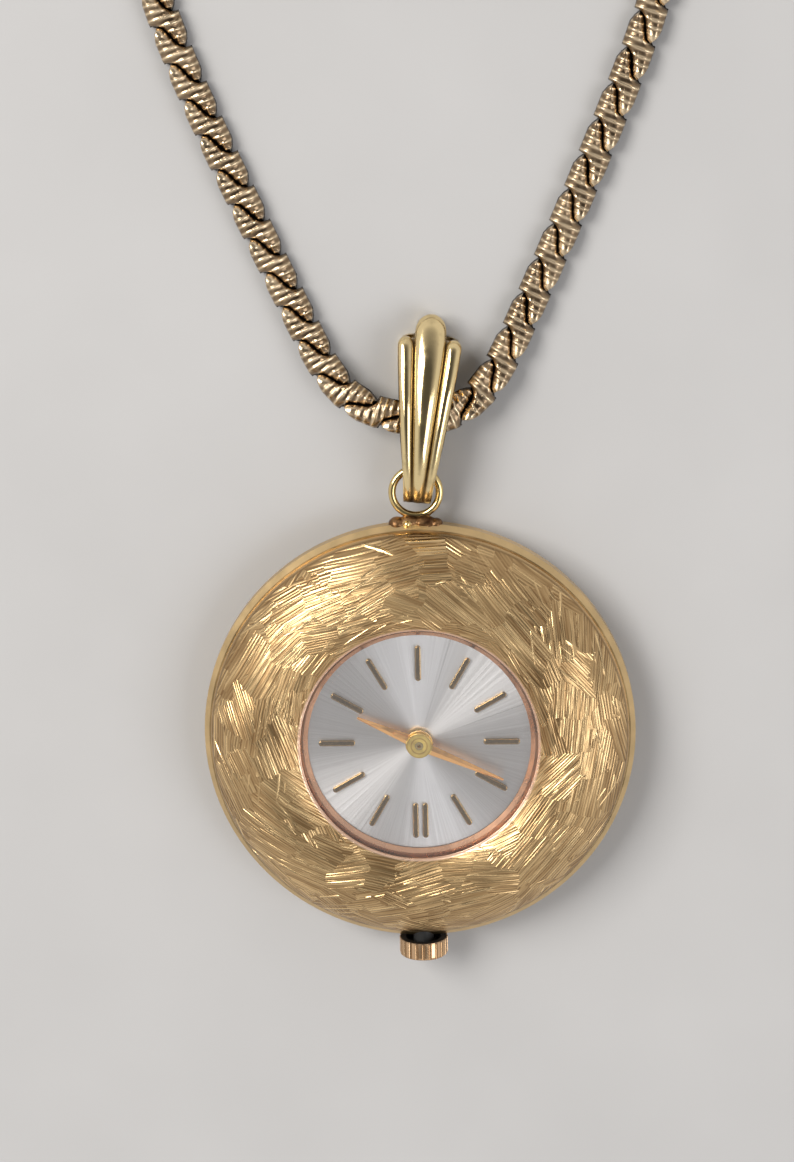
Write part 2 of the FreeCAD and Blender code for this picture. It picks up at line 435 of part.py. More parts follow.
def escapement_parts():
    px, py = PALLET_AT
    towards = direction(PALLET_AT, BALANCE_AT)
    tip = polar(math.dist(PALLET_AT, BALANCE_AT) - 0.72, towards, PALLET_AT)
    lever = bar(PALLET_AT, tip, 0.22, 2.76, 2.87)
    horns = [bar(tip, polar(0.32, towards + s, tip), 0.1, 2.76, 2.87) for s in (-48, 48)]
    arms = [bar(PALLET_AT, polar(1.45, towards + 180 + s, PALLET_AT), 0.2, 2.76, 2.87) for s in (-56, 56)]
    staff = arbor(PALLET_AT, 2.35, 3.45, 2.65, 3.17, 0.13)
    save("pallet_fork", union([lever] + horns + arms + [staff]))
    stones = []
    for s in (-56, 56):
        end = polar(1.45, towards + 180 + s, PALLET_AT)
        stone = box(-0.1, 0.1, -0.09, 0.22, 2.63, 2.745)
        stone.rotate(Vector(0, 0, 0), UP, towards + 90 + s / 2)
        stone.translate(at(end))
        stones.append(stone)
    save("pallet_stones", Part.makeCompound(stones))

    rim = ring(BALANCE_R - 0.35, BALANCE_R, 2.3, 2.58, BALANCE_AT)
    arm = bar(polar(BALANCE_R - 0.2, 20, BALANCE_AT), polar(BALANCE_R - 0.2, 200, BALANCE_AT), 0.4, 2.35, 2.5)
    hub = disc(0.4, 2.3, 2.6, BALANCE_AT)
    save("balance_wheel", union([rim, arm, hub]).cut(disc(0.17, 1, 4, BALANCE_AT)))
    staff = disc(PIVOT_R, 1.62, 3.45, BALANCE_AT).fuse(disc(0.16, 1.9, 3.15, BALANCE_AT))
    save("balance_staff", staff)
    roller = disc(0.5, 2.92, 3.05, BALANCE_AT).fuse(disc(0.3, 2.64, 2.92, BALANCE_AT)).cut(disc(0.17, 1, 4, BALANCE_AT))
    pin = disc(0.05, 2.72, 2.92, polar(0.42, towards + 180, BALANCE_AT))
    save("roller", roller.fuse(pin))
    collet = ring(0.17, 0.4, 2.05, 2.2, BALANCE_AT)
    save("hairspring", Part.makeCompound([spiral(BALANCE_AT, 0.42, 1.9, 2.05, 2.17, 9, 0.03), collet]))


# ---------------------------------------------------------------- winding and setting
def winding_parts():
    to_crown = direction(BARREL_AT, CROWN_WHEEL_AT)
    ratchet = gear(RATCHET_T, M_RATCHET, 1.02, 1.3, BARREL_AT, to_crown)
    hole = box(-0.32, 0.32, -0.32, 0.32, 0.9, 1.4)
    hole.translate(at(BARREL_AT))
    save("ratchet_wheel", ratchet.cut(hole))
    cap = disc(0.62, 0.85, 0.97, BARREL_AT)
    save("ratchet_screw", cap.fuse(disc(0.14, 0.97, 1.55, BARREL_AT)))
    phase = mesh_phase(to_crown, to_crown, RATCHET_T, CROWN_WHEEL_T)
    save("crown_wheel", gear(CROWN_WHEEL_T, M_RATCHET, 1.02, 1.3, CROWN_WHEEL_AT, phase, 0.5 + FIT))
    cap = disc(0.85, 0.85, 0.99, CROWN_WHEEL_AT)

    tip = polar(RATCHET_T * M_RATCHET / 2 + 0.3, 170, BARREL_AT)
    post = polar(1.25, 245, tip)
    click = bar(post, polar(0.25, direction(post, tip), tip), 0.5, 1.04, 1.28).cut(
        disc(RATCHET_T * M_RATCHET / 2 + 0.22, 1, 2, BARREL_AT))
    click = max(click.Solids, key=lambda s: s.Volume)
    save("click", click.cut(disc(0.18 + FIT, 1, 2, post)))
    click_post = disc(0.18, 1.0, BRIDGE_BOTTOM, post)
    far = polar(1.5, 225, post)
    wire = bar(polar(0.62, 215, post), far, 0.14, 1.1, 1.22)
    save("click_spring", wire.fuse(disc(0.2, 1.0, BRIDGE_BOTTOM, far)))

    knurled = rod_y(CROWN_R, -CROWN_NEAR, -CROWN_FAR)
    flutes = []
    for k in range(CROWN_FLUTES):
        a = 2 * math.pi * k / CROWN_FLUTES
        reach = CROWN_R + 0.05
        flutes.append(rod_y(0.13, -CROWN_NEAR + 1, -CROWN_FAR - 1, reach * math.sin(a), STEM_Z + reach * math.cos(a)))
    far_edges = [e for e in knurled.Edges if e.BoundBox.YMax < -CROWN_FAR + 0.01]
    knurled = knurled.makeFillet(0.22, far_edges).cut(flutes)
    hollow = rod_y(1.25, -CROWN_NEAR + 0.5, -CROWN_NEAR - 0.85)
    save("crown", knurled.cut([hollow, rod_y(STEM_R, -12, -CROWN_FAR + 0.25)]))
    save("crown_gasket", rod_y(1.22, -CROWN_NEAR - 0.5, -CROWN_NEAR - 0.83).cut(rod_y(0.44, -10, -20)))
    stem = rod_y(STEM_R - 0.005, -9.4, -CROWN_FAR + 0.26).fuse(rod_y(0.22, -6.0, -7.0))
    square = box(-0.24, 0.24, -9.4, -7.0, STEM_Z - 0.24, STEM_Z + 0.24)
    groove = rod_y(1.0, -9.5, -9.8).cut(rod_y(0.26, -9, -10))
    save("stem", stem.fuse(square).cut(groove))
    save("crown_tube", rod_y(CROWN_TUBE_R - FIT, -13.22, -CROWN_NEAR - 0.3).cut(rod_y(STEM_R + FIT, -12, -17)))

    def toothed(radius, y0, y1, bore):
        body = rod_y(radius, y0, y1)
        gaps = []
        for k in range(WINDING_T):
            a = 2 * math.pi * (k + 0.5) / WINDING_T
            gaps.append(rod_y(0.08, y0 + 1, y1 - 1, radius * math.sin(a), STEM_Z + radius * math.cos(a)))
        return body.cut(gaps + [bore])

    save("winding_pinion", toothed(1.05, -8.5, -9.25, rod_y(0.36, -7, -11)))
    bore = box(-0.27, 0.27, -11, -6, STEM_Z - 0.27, STEM_Z + 0.27)
    neck = rod_y(1.2, -7.75, -7.95).cut(rod_y(0.6, -7, -9))
    save("sliding_pinion", toothed(0.88, -7.2, -8.44, bore).cut(neck))

    lever_post = (-2.4, -8.3)
    lever = union([bar(lever_post, (-1.5, -9.0), 0.5, 3.85, 4.1), bar(lever_post, (-3.1, -7.4), 0.5, 3.85, 4.1)])
    save("setting_lever", lever.cut(disc(0.2 + FIT, 3, 5, lever_post)).common(disc(9.5, 3, 5)))
    lever_screw = disc(0.2, RECESS_Z, 4.45, lever_post)
    save("keyless_screws", Part.makeCompound([cap, click_post, lever_screw]))
    save("yoke", bar((-2.9, -6.9), (-1.45, -7.0), 0.4, 3.85, 4.05))


# ---------------------------------------------------------------- bail, chain and clasp
def bail_parts():
    """A folded strip: three flutes in front, a plain leaf behind, closed round the bow ring."""
    front = [(17.0, 2.95), (18.3, 3.45), (20.3, 3.6), (22.4, 3.5), (25.0, 3.0), (27.0, 2.25), (28.2, 1.65)]
    top = [(28.85, 1.2), (29.0, 0.9), (28.85, 0.55)]
    back = [(28.3, 0.3), (26.8, 0.25), (24.8, 0.4), (22.4, 0.8), (20.3, 0.95), (18.3, 1.05), (17.1, 1.45)]
    foot = [(16.64, 1.85), (16.52, 2.2), (16.64, 2.55)]
    loop = Part.BSplineCurve()
    loop.interpolate([Vector(0, y, z) for y, z in front + top + back + foot], PeriodicFlag=True)
    steps = 96
    span = loop.LastParameter - loop.FirstParameter

    def offset(depth, first=0, last=steps):
        out = []
        for i in range(first, last + 1):
            t = loop.FirstParameter + span * i / steps
            tangent = loop.tangent(t)[0]
            normal = Vector(0, -tangent.z, tangent.y)
            out.append(loop.value(t) + normal * depth)
        return out

    outside, inside = offset(BAIL_SHEET / 2)[:-1], offset(-BAIL_SHEET / 2)[:-1]

    def slab(points, half_width):
        wire = Part.makePolygon([Vector(-half_width, p.y, p.z) for p in points + points[:1]])
        return Part.Face(wire).extrude(Vector(2 * half_width, 0, 0))

    sheet = slab(outside, 3).cut(slab(inside, 3))
    if sheet.Volume < 1:
        sheet = slab(inside, 3).cut(slab(outside, 3))
    right = [(0.9, 16), (1.1, 18.4), (1.5, 21.1), (1.86, 24.2), (2.1, 26.4), (2.1, 27.0), (1.9, 27.4), (1.5, 27.58),
             (1.02, 27.64), (1.04, 28.1), (0.9, 28.55), (0.6, 28.9), (0.25, 29.08), (0, 29.12)]
    outline = right + [(-x, y) for x, y in reversed(right[:-1])]
    leaf = sheet.common(plate(outline, -1, 6))
    leaf.translate(Vector(BAIL_SHIFT, 0, 0))
    leaf.rotate(Vector(0, RING_Y, 0), UP, BAIL_LEAN)
    save("bail", leaf)


def rounded_path(points):
    """Straight runs joined by tangent arcs, each as large as its two runs allow."""
    p = [Vector(*q) for q in points]
    edges, start, radii, length = [], p[0], [], 0.0
    for i in range(1, len(p) - 1):
        a, b = p[i - 1] - p[i], p[i + 1] - p[i]
        reach = 0.45 * min(a.Length, b.Length)
        half_turn = (math.pi - a.getAngle(b)) / 2
        radius = reach / math.tan(half_turn)
        a.normalize()
        b.normalize()
        first, last = p[i] + a * reach, p[i] + b * reach
        bisector = (a + b).normalize()
        middle = p[i] + bisector * (radius / math.cos(half_turn) - radius)
        edges += [Part.LineSegment(start, first).toShape(), Part.Arc(first, middle, last).toShape()]
        start = last
        radii.append(radius)
    edges.append(Part.LineSegment(start, p[-1]).toShape())
    return Part.Wire(edges), radii


def coil_turns(strand):
    """Turns of each coil layer, from the length that the route leaves over."""
    start = math.dist(ROUTE[0][:2], (0, COIL_Y))
    turns = 1.0
    while 2 * math.pi * turns * (start - COIL_PITCH * turns / 2) < strand:
        turns += 0.001
    return start, turns


def chain_parts():
    path, radii = rounded_path(ROUTE)
    print("chain route", round(path.Length, 1), "mm, radii", [round(r, 1) for r in radii])
    a, b = Vector(*ROUTE[0]), Vector(*ROUTE[1])
    across = (b - a).cross(UP).normalize()
    corners = [a + across * (CHAIN_W / 2 * s) + UP * (CHAIN_T / 2 * t) for s, t in ((-1, -1), (1, -1), (1, 1), (-1, 1))]
    sweep = Part.BRepOffsetAPI.MakePipeShell(path)
    sweep.setBiNormalMode(UP)
    sweep.add(Part.makePolygon(corners + corners[:1]))
    sweep.build()
    sweep.makeSolid()
    run = sweep.shape()
    print("chain run", round(run.Volume, 2), "against", round(CHAIN_W * CHAIN_T * path.Length, 2), run.isValid())
    save("chain_run", run)

    tail = 6.0                  # from the inner end of each layer to its end ring
    start, turns = coil_turns((CHAIN_LENGTH - path.Length) / 2 - tail)
    inner = start - COIL_PITCH * turns
    print("coil", round(start, 2), "to", round(inner, 2), "in", round(turns, 3), "turns a layer")
    top = CHAIN_T + COIL_LAYER + 0.05
    save("chain_coil", ring(inner - CHAIN_W / 2 - 0.1, start + CHAIN_W / 2 + 0.1, 0, top, (0, COIL_Y)))

    centre = Vector(0, COIL_Y, CLASP_Z)
    tube = Part.makeTorus(CLASP_R, CLASP_WIRE_R, centre)
    bore = Part.makeTorus(CLASP_R, 0.3, centre)
    gap_angle, knob_angle = 30, 62

    def sector(a0, a1):
        return plate([(0, COIL_Y)] + [polar(5, a0 + (a1 - a0) * i / 8, (0, COIL_Y)) for i in range(9)], -1, 3)

    slot = sector(gap_angle + 22, gap_angle + 88).common(box(-6, 6, COIL_Y - 6, COIL_Y + 6, CLASP_Z, 3)).common(
        disc(CLASP_R + 0.14, 0, 3, (0, COIL_Y)).cut(disc(CLASP_R - 0.14, -1, 4, (0, COIL_Y))))
    save("clasp_ring", tube.cut([bore, sector(gap_angle - 22, gap_angle + 22), slot]))
    knob = Part.makeCylinder(0.12, 0.75, at(polar(CLASP_R, knob_angle, (0, COIL_Y)), CLASP_Z))
    bolt = Part.makeTorus(CLASP_R, 0.27, centre).common(sector(gap_angle - 24, gap_angle + 40))
    save("clasp_bolt", bolt.fuse(knob))
    rings = [Part.makeTorus(END_RING_R, END_RING_WIRE_R, Vector(side * (CLASP_R + 0.14), COIL_Y, CLASP_Z), Vector(0, 1, 0))
             for side in (-1, 1)]
    save("chain_end_rings", Part.makeCompound(rings))


def build():
    case_parts()
    bow_parts()
    dial_parts()
    motion_work()
    frame_parts()
    train_parts()
    escapement_parts()
    winding_parts()
    bail_parts()
    chain_parts()
    os.makedirs("parts", exist_ok=True)
    for name, shape in OUT.items():
        shape.exportStep(f"parts/{name}.step")
        b = shape.BoundBox
        note = "" if shape.isValid() else " INVALID"
        print(f"{name:20s} solids {len(shape.Solids)} vol {shape.Volume:9.3f}"
              f" x {b.XMin:.2f} {b.XMax:.2f} y {b.YMin:.2f} {b.YMax:.2f} z {b.ZMin:.2f} {b.ZMax:.2f}{note}")


build()
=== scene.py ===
# %% [markdown]
# # A fob watch on its chain
# A ladies' pendant watch: an engraved bezel round a small silver dial, a fluted bail that folds over the
# chain, and a chain of S-shaped links. The case, the movement and every moving piece come from the packed
# frame at their true size. This file adds what the frame leaves plain: the bezel's engraving, the bail's
# flutes, the links of the chain, and a finish for every metal.
# %% Load the frame
import json
import math

import bpy
from mathutils import Matrix, Vector


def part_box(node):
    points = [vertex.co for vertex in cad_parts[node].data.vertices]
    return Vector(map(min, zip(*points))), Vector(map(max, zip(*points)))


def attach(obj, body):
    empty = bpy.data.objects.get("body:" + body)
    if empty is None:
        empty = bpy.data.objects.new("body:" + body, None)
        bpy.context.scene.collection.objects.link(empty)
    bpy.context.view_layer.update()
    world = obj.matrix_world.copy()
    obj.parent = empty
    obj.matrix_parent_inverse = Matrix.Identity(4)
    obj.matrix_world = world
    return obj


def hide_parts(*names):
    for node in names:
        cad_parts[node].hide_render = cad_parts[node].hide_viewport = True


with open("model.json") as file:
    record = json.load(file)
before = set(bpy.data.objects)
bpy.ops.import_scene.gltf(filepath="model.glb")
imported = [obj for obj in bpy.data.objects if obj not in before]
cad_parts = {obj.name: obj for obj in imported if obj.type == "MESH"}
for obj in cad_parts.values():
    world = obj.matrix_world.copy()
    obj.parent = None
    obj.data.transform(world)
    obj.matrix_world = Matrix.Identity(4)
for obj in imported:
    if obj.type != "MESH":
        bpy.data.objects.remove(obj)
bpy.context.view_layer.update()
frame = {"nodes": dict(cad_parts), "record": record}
MM = 0.001


# %% [markdown]
# ## The view
# The watch lies on a table and is seen from almost straight above, a little from the chain's side, so the
# nearer side of the case band shows at the bow and the dial sits low in its round opening. A long lens
# stands in for a close look without a wide lens's stretch. The camera is placed by its aim point, its lean
# from the vertical and its distance, because those are what one sets by hand on a stand over a table.
# %% Camera
VIEW_TILT, VIEW_YAW, VIEW_ROLL = math.radians(15.0), math.radians(1.7), math.radians(-1.14)
AIM = Vector((-1.41, 10.71, 2.0)) * MM
VIEW_DISTANCE = 220.1 * MM
LENS = 98.8


def view_axes():
    """The camera's right, up and backward directions."""
    back = Vector((math.sin(VIEW_YAW) * math.cos(VIEW_TILT), math.sin(VIEW_TILT),
                   math.cos(VIEW_YAW) * math.cos(VIEW_TILT)))
    right = Vector((0, 1, 0)).cross(back).normalized()
    up = back.cross(right)
    turn = Matrix.Rotation(VIEW_ROLL, 3, back)
    return turn @ right, turn @ up, back


right, up, back = view_axes()
bpy.ops.object.camera_add(location=AIM + back * VIEW_DISTANCE)
camera = bpy.context.object
camera.rotation_euler = Matrix((right, up, back)).transposed().to_euler()
camera.data.lens = LENS
camera.data.clip_start = 0.01
bpy.context.scene.camera = camera
print("camera at", [round(c, 4) for c in camera.location])


# %% [markdown]
# ## Hands and helpers
# Operators act on whatever is selected, so each step starts from an empty selection. A finished piece has
# its place in its mesh and its object at the origin, as the frame's own pieces have, because patterns on
# Object coordinates would slide otherwise.
# %% Small helpers
def select_only(*pieces):
    bpy.ops.object.select_all(action="DESELECT")
    for piece in pieces:
        piece.select_set(True)
    bpy.context.view_layer.objects.active = pieces[-1]


def give(piece, material):
    piece.data.materials.clear()
    piece.data.materials.append(material)


def mount(piece, body, material, stands_for=()):
    """Puts a finished piece on its body, with its finish, in place of the frame's nodes."""
    give(piece, material)
    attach(piece, body)
    if stands_for:
        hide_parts(*stands_for)
    return piece


def mesh_piece(name, points, faces, smooth=True):
    mesh = bpy.data.meshes.new(name)
    mesh.from_pydata(points, [], faces)
    mesh.update()
    if smooth:
        mesh.polygons.foreach_set("use_smooth", [True] * len(mesh.polygons))
    piece = bpy.data.objects.new(name, mesh)
    bpy.context.collection.objects.link(piece)
    return piece


# %% [markdown]
# ## Turning and drawing out
# Two ways of making most of this watch's shapes. A turned piece starts as a circle, whose edge is extruded
# and resized from point to point of an outline until it meets itself. A drawn-out piece starts as a small
# circle stood on edge, which is extruded along a line and resized at each station, as a rod is drawn.
# %% Lathe and rod
def begin(name):
    piece = bpy.context.object
    piece.name = piece.data.name = name
    select_only(piece)
    bpy.ops.object.transform_apply(location=True, rotation=True, scale=True)
    bpy.ops.object.mode_set(mode="EDIT")
    bpy.ops.mesh.select_all(action="SELECT")
    return piece


def close_up(piece, smooth_levels=0):
    """Merges seams, turns faces outwards, and rounds the piece with applied subdivision."""
    bpy.ops.mesh.select_all(action="SELECT")
    bpy.ops.mesh.remove_doubles(threshold=1e-7)
    bpy.ops.mesh.normals_make_consistent(inside=False)
    bpy.ops.object.mode_set(mode="OBJECT")
    bpy.ops.object.shade_smooth()
    if smooth_levels:
        rounder = piece.modifiers.new("round", "SUBSURF")
        rounder.levels = rounder.render_levels = smooth_levels
        bpy.ops.object.modifier_apply(modifier=rounder.name)
    return piece


def lathe(name, outline, around, smooth_levels):
    """A solid of revolution about Z, from a closed outline of (radius, height) in mm."""
    bpy.ops.object.select_all(action="DESELECT")
    radius, height = outline[0]
    bpy.ops.mesh.primitive_circle_add(vertices=around, radius=radius * MM, location=(0, 0, height * MM))
    piece = begin(name)
    for next_radius, next_height in [*outline[1:], outline[0]]:
        rise, grow = (next_height - height) * MM, next_radius / radius
        bpy.ops.mesh.extrude_region_move(TRANSFORM_OT_translate={"value": (0, 0, rise)})
        bpy.ops.transform.resize(value=(grow, grow, 1), center_override=(0, 0, next_height * MM))
        radius, height = next_radius, next_height
    return close_up(piece, smooth_levels)


def draw_out(name, stations, around, smooth_levels):
    """A rod along Y, from stations of (x, y, z, half width, half height) in mm."""
    bpy.ops.object.select_all(action="DESELECT")
    x, y, z, wide, high = stations[0]
    bpy.ops.mesh.primitive_circle_add(vertices=around, radius=MM, fill_type="NGON",
                                      location=(x * MM, y * MM, z * MM), rotation=(math.pi / 2, 0, 0))
    piece = begin(name)
    bpy.ops.transform.resize(value=(wide, 1, high), center_override=(x * MM, y * MM, z * MM))
    for station in stations[1:]:
        step = tuple((b - a) * MM for a, b in zip((x, y, z), station))
        grow = (station[3] / wide, 1, station[4] / high)
        x, y, z, wide, high = station
        bpy.ops.mesh.extrude_region_move(TRANSFORM_OT_translate={"value": step})
        bpy.ops.transform.resize(value=grow, center_override=(x * MM, y * MM, z * MM))
    return close_up(piece, smooth_levels)


# %% [markdown]
# ## Shader maths as sums
# A finish is easier to read as an expression than as a tangle of nodes. The class Wire wraps one socket, and
# adding, multiplying or powering it adds the Math node that does so. Finish starts a material and holds the
# few nodes that every pattern here begins from.
# %% Shader expressions
class Wire:
    """One output socket of a material's nodes, which can be used in sums."""

    def __init__(self, tree, socket):
        self.tree, self.socket = tree, socket

    def node(self, kind, settings=None, **sockets):
        """Adds any node: settings first, then values or wires by socket name, with _ for a space."""
        made = self.tree.nodes.new(kind)
        for key, value in (settings or {}).items():
            setattr(made, key, value)
        for key, value in sockets.items():
            socket = find_socket(made, key)
            if isinstance(value, Wire):
                self.tree.links.new(value.socket, socket)
            else:
                socket.default_value = value
        return made

    def maths(self, operation, *values):
        sockets = {f"input{i}": value for i, value in enumerate(values)}
        return Wire(self.tree, self.node("ShaderNodeMath", {"operation": operation}, **sockets).outputs[0])

    def __add__(self, other):
        return self.maths("ADD", self, other)

    def __radd__(self, other):
        return self.maths("ADD", other, self)

    def __sub__(self, other):
        return self.maths("SUBTRACT", self, other)

    def __rsub__(self, other):
        return self.maths("SUBTRACT", other, self)

    def __mul__(self, other):
        return self.maths("MULTIPLY", self, other)

    def __rmul__(self, other):
        return self.maths("MULTIPLY", other, self)

    def __pow__(self, other):
        return self.maths("POWER", self, other)

    def sin(self):
        return self.maths("SINE", self)

    def cos(self):
        return self.maths("COSINE", self)

    def abs(self):
        return self.maths("ABSOLUTE", self)

    def smallest(self, other):
        return self.maths("MINIMUM", self, other)

    def largest(self, other):
        return self.maths("MAXIMUM", self, other)

    def between(self, low, high, out_low=0.0, out_high=1.0):
        """Rescales low..high to out_low..out_high, and holds it there."""
        made = self.node("ShaderNodeMapRange", {"clamp": True}, Value=self, From_Min=low, From_Max=high,
                         To_Min=out_low, To_Max=out_high)
        return Wire(self.tree, made.outputs["Result"])


def find_socket(node, key):
    if key.startswith("input"):
        return node.inputs[int(key[5:])]
    return node.inputs[key.replace("_", " ")]


def rgba(colour):
    return (*colour, 1.0)


class Finish:
    """A material under construction: a Principled shader and the places to start a pattern from."""

    def __init__(self, name, colour, metallic=0.0, roughness=0.4, **constants):
        self.material = bpy.data.materials.new(name)
        self.material.use_nodes = True
        self.tree = self.material.node_tree
        self.shader = self.tree.nodes["Principled BSDF"]
        self.set(Base_Color=rgba(colour), Metallic=metallic, Roughness=roughness, **constants)

    def set(self, **sockets):
        for key, value in sockets.items():
            socket = self.shader.inputs[key.replace("_", " ")]
            if isinstance(value, Wire):
                self.tree.links.new(value.socket, socket)
            else:
                socket.default_value = value

    def node(self, kind, settings=None, **sockets):
        return Wire(self.tree, None).node(kind, settings, **sockets)

    def wire(self, kind, out, settings=None, **sockets):
        return Wire(self.tree, self.node(kind, settings, **sockets).outputs[out])

    def place(self):
        return self.wire("ShaderNodeTexCoord", "Object")

    def axes(self, vector):
        split = self.node("ShaderNodeSeparateXYZ", Vector=vector)
        return [Wire(self.tree, split.outputs[i]) for i in range(3)]

    def vector(self, x, y, z=0.0):
        return self.wire("ShaderNodeCombineXYZ", "Vector", X=x, Y=y, Z=z)

    def noise(self, vector, scale, detail=2.0, rough=0.5, distortion=0.0):
        return self.wire("ShaderNodeTexNoise", "Fac", Vector=vector, Scale=scale, Detail=detail,
                         Roughness=rough, Distortion=distortion)

    def mix(self, amount, low, high):
        """A colour between low and high."""
        low = low if isinstance(low, Wire) else rgba(low)
        high = high if isinstance(high, Wire) else rgba(high)
        return self.wire("ShaderNodeMix", 2, {"data_type": "RGBA"}, input0=amount, input6=low, input7=high)

    def bump(self, height, strength, distance):
        self.set(Normal=self.wire("ShaderNodeBump", "Normal", Height=height, Strength=strength,
                                  Distance=distance))


print("shader helpers ready")


# %% [markdown]
# ## The table and the light
# The watch lies on a plain pale surface. One large soft window to the upper left gives the metal its long
# highlights and puts soft shadows to the lower right. The room fills the rest: bright walls all round and a
# darker ceiling, because polished gold only looks round when part of what it mirrors is dark.
# %% Table, window and room
bpy.ops.mesh.primitive_plane_add(size=1.2, location=(0, 0.02, 0))
table = bpy.context.object
table.name = "table"
cloth = Finish("pale_table", (0.48, 0.47, 0.46), roughness=0.85)
mottle = cloth.noise(cloth.place(), 60.0, 3.0)
cloth.set(Base_Color=cloth.mix(mottle.between(0.3, 0.7), (0.455, 0.445, 0.435), (0.48, 0.47, 0.46)))
give(table, cloth.material)


def soft_window(name, place, aim, size, watts, colour=(1, 1, 1)):
    """A soft rectangular light that faces a point."""
    facing = (Vector(aim) - Vector(place)).to_track_quat("-Z", "Y").to_euler()
    bpy.ops.object.light_add(type="AREA", location=place, rotation=facing)
    lamp = bpy.context.object
    lamp.name = name
    lamp.data.shape = "RECTANGLE"
    lamp.data.size, lamp.data.size_y = size
    lamp.data.energy, lamp.data.color = watts, colour
    return lamp


soft_window("window", (-0.32, 0.22, 0.42), (0, 0.02, 0), (0.34, 0.26), 3.0, (1.0, 0.985, 0.96))
soft_window("far_wall", (0.35, -0.10, 0.40), (0, 0, 0), (0.30, 0.30), 1.0, (0.94, 0.96, 1.0))

CEILING = Vector((0.0, 0.14, 1.0)).normalized()
world = bpy.data.worlds.new("room")
bpy.context.scene.world = world
world.use_nodes = True
tree = world.node_tree
direction = Wire(tree, Wire(tree, None).node("ShaderNodeTexCoord").outputs["Generated"])
towards = Wire(tree, direction.node("ShaderNodeVectorMath", {"operation": "DOT_PRODUCT"}, input0=direction,
                                    input1=CEILING).outputs["Value"])
glow = towards.between(0.62, 0.92, 0.80, 0.10)
background = tree.nodes["Background"]
background.inputs["Color"].default_value = (0.92, 0.905, 0.90, 1)
tree.links.new(glow.socket, background.inputs["Strength"])
bpy.context.scene.view_settings.view_transform = "Standard"


# %% [markdown]
# ## Where the chain lies
# A limp 600 mm chain: it drops from one side of the neck, passes behind the bail and goes up again, and the
# rest is put away in two flat layers of turns beyond the view, where its ends meet in a spring-ring clasp.
# Its middle line is one smooth curve through the frame's own route points, and the turns of the coil are
# worked out by a loop.
# %% Chain centreline
CHAIN_WIDTH, CHAIN_THICK = 2.2, 1.2
COIL_Y, COIL_PITCH, COIL_LAYER = 71.0, 2.25, 1.3
END_RING_X, CLASP_Z = 2.44, 1.18
LOW = CHAIN_THICK / 2
ROUTE = [
    (-16.9, 73.9, LOW), (-17.9, 68.2, LOW), (-18.3, 62.2, LOW), (-17.8, 56.2, LOW),
    (-16.6, 50.3, LOW), (-14.9, 45.5, LOW), (-13.0, 40.9, LOW), (-11.1, 36.5, LOW),
    (-9.15, 32.1, LOW), (-7.2, 27.8, 0.75), (-5.9, 25.2, 1.2), (-4.1, 23.2, 1.75),
    (-1.2, 22.15, 2.12), (1.9, 22.1, 2.12), (4.3, 23.4, 1.75), (5.9, 25.6, 1.2),
    (7.2, 28.2, 0.75), (9.2, 32.5, LOW), (11.25, 37.1, LOW), (13.2, 41.7, LOW),
    (15.1, 46.3, LOW), (16.7, 50.9, LOW), (17.8, 56.6, 0.7), (18.25, 62.4, 0.95),
    (18.0, 68.1, 1.45), (16.9, 73.9, LOW + COIL_LAYER),
]
COIL_TURNS = 2.63


def coil_layer(side, height):
    """Turns from the outer edge in to the end ring: side -1 is the left strand, 1 the right one."""
    start = math.dist(ROUTE[0][:2], (0, COIL_Y))
    first = math.atan2(ROUTE[0][1] - COIL_Y, side * abs(ROUTE[0][0]))
    steps = round(COIL_TURNS * 16)
    turns = []
    for i in range(1, steps + 1):
        share = i / steps
        radius = start - COIL_PITCH * COIL_TURNS * share
        angle = first + side * 2 * math.pi * COIL_TURNS * share
        turns.append((radius * math.cos(angle), COIL_Y + radius * math.sin(angle), height))
    return turns


def run_to_ring(turns, side):
    """The last stretch of a strand, from its innermost turn to its end ring."""
    last, before = Vector(turns[-1]), Vector(turns[-2])
    heading = (last - before).normalized()
    ring_place = Vector((side * (END_RING_X + 1.6), COIL_Y, CLASP_Z))
    return [tuple(last + heading * 3.0 + (ring_place - last) * 0.22),
            tuple(last + heading * 2.5 + (ring_place - last) * 0.62), tuple(ring_place)]


left_turns, right_turns = coil_layer(-1, LOW), coil_layer(1, LOW + COIL_LAYER)
control = [*reversed(left_turns + run_to_ring(left_turns, -1)), *ROUTE, *right_turns,
           *run_to_ring(right_turns, 1)]
curve = bpy.data.curves.new("chain_line", "CURVE")
curve.dimensions = "3D"
spline = curve.splines.new("NURBS")
spline.points.add(len(control) - 1)
for point, place in zip(spline.points, control):
    point.co = (*(c * MM for c in place), 1.0)
spline.order_u = 3
spline.use_endpoint_u = True
spline.resolution_u = 12
line_object = bpy.data.objects.new("chain_line", curve)
bpy.context.collection.objects.link(line_object)
line_mesh = bpy.data.meshes.new_from_object(line_object)
chain_line = [v.co.copy() for v in line_mesh.vertices]
bpy.data.objects.remove(line_object)


# %% [markdown]
# ## One link, and two hundred more
# Each link is a slip of ribbed sheet whose two ends are cut to the same S, so that a link's rounded head lies
# in the hollow of the tail before it, and only a dark S-shaped gap shows between them; the dark there is
# painted shade on the low parts of the links. One closed shell of 74 faces is laid along the centreline again
# and again, so every link bends with the chain.
# The fine ribs are left to the finish, along the link's own map.
# %% Sizes of a link
LINK_PITCH, LINK_GAP, LINK_LAP = 2.55, 0.09, 1.95
LINK_TILT, LINK_ROUND, LINK_TONGUE = 0.14, 0.85, 0.3
ACROSS = (-1.0, -0.86, -0.6, -0.3, -0.1, 0.1, 0.3, 0.6, 0.86, 1.0)
# how far in from the cut edge each row of a link lies, and how far below the crown of its dome
LINK_ROWS = ((0.0, 0.5), (0.06, 0.17), (0.26, 0.0))
print("a link is", LINK_PITCH + LINK_LAP, "mm long and", CHAIN_WIDTH, "mm wide")


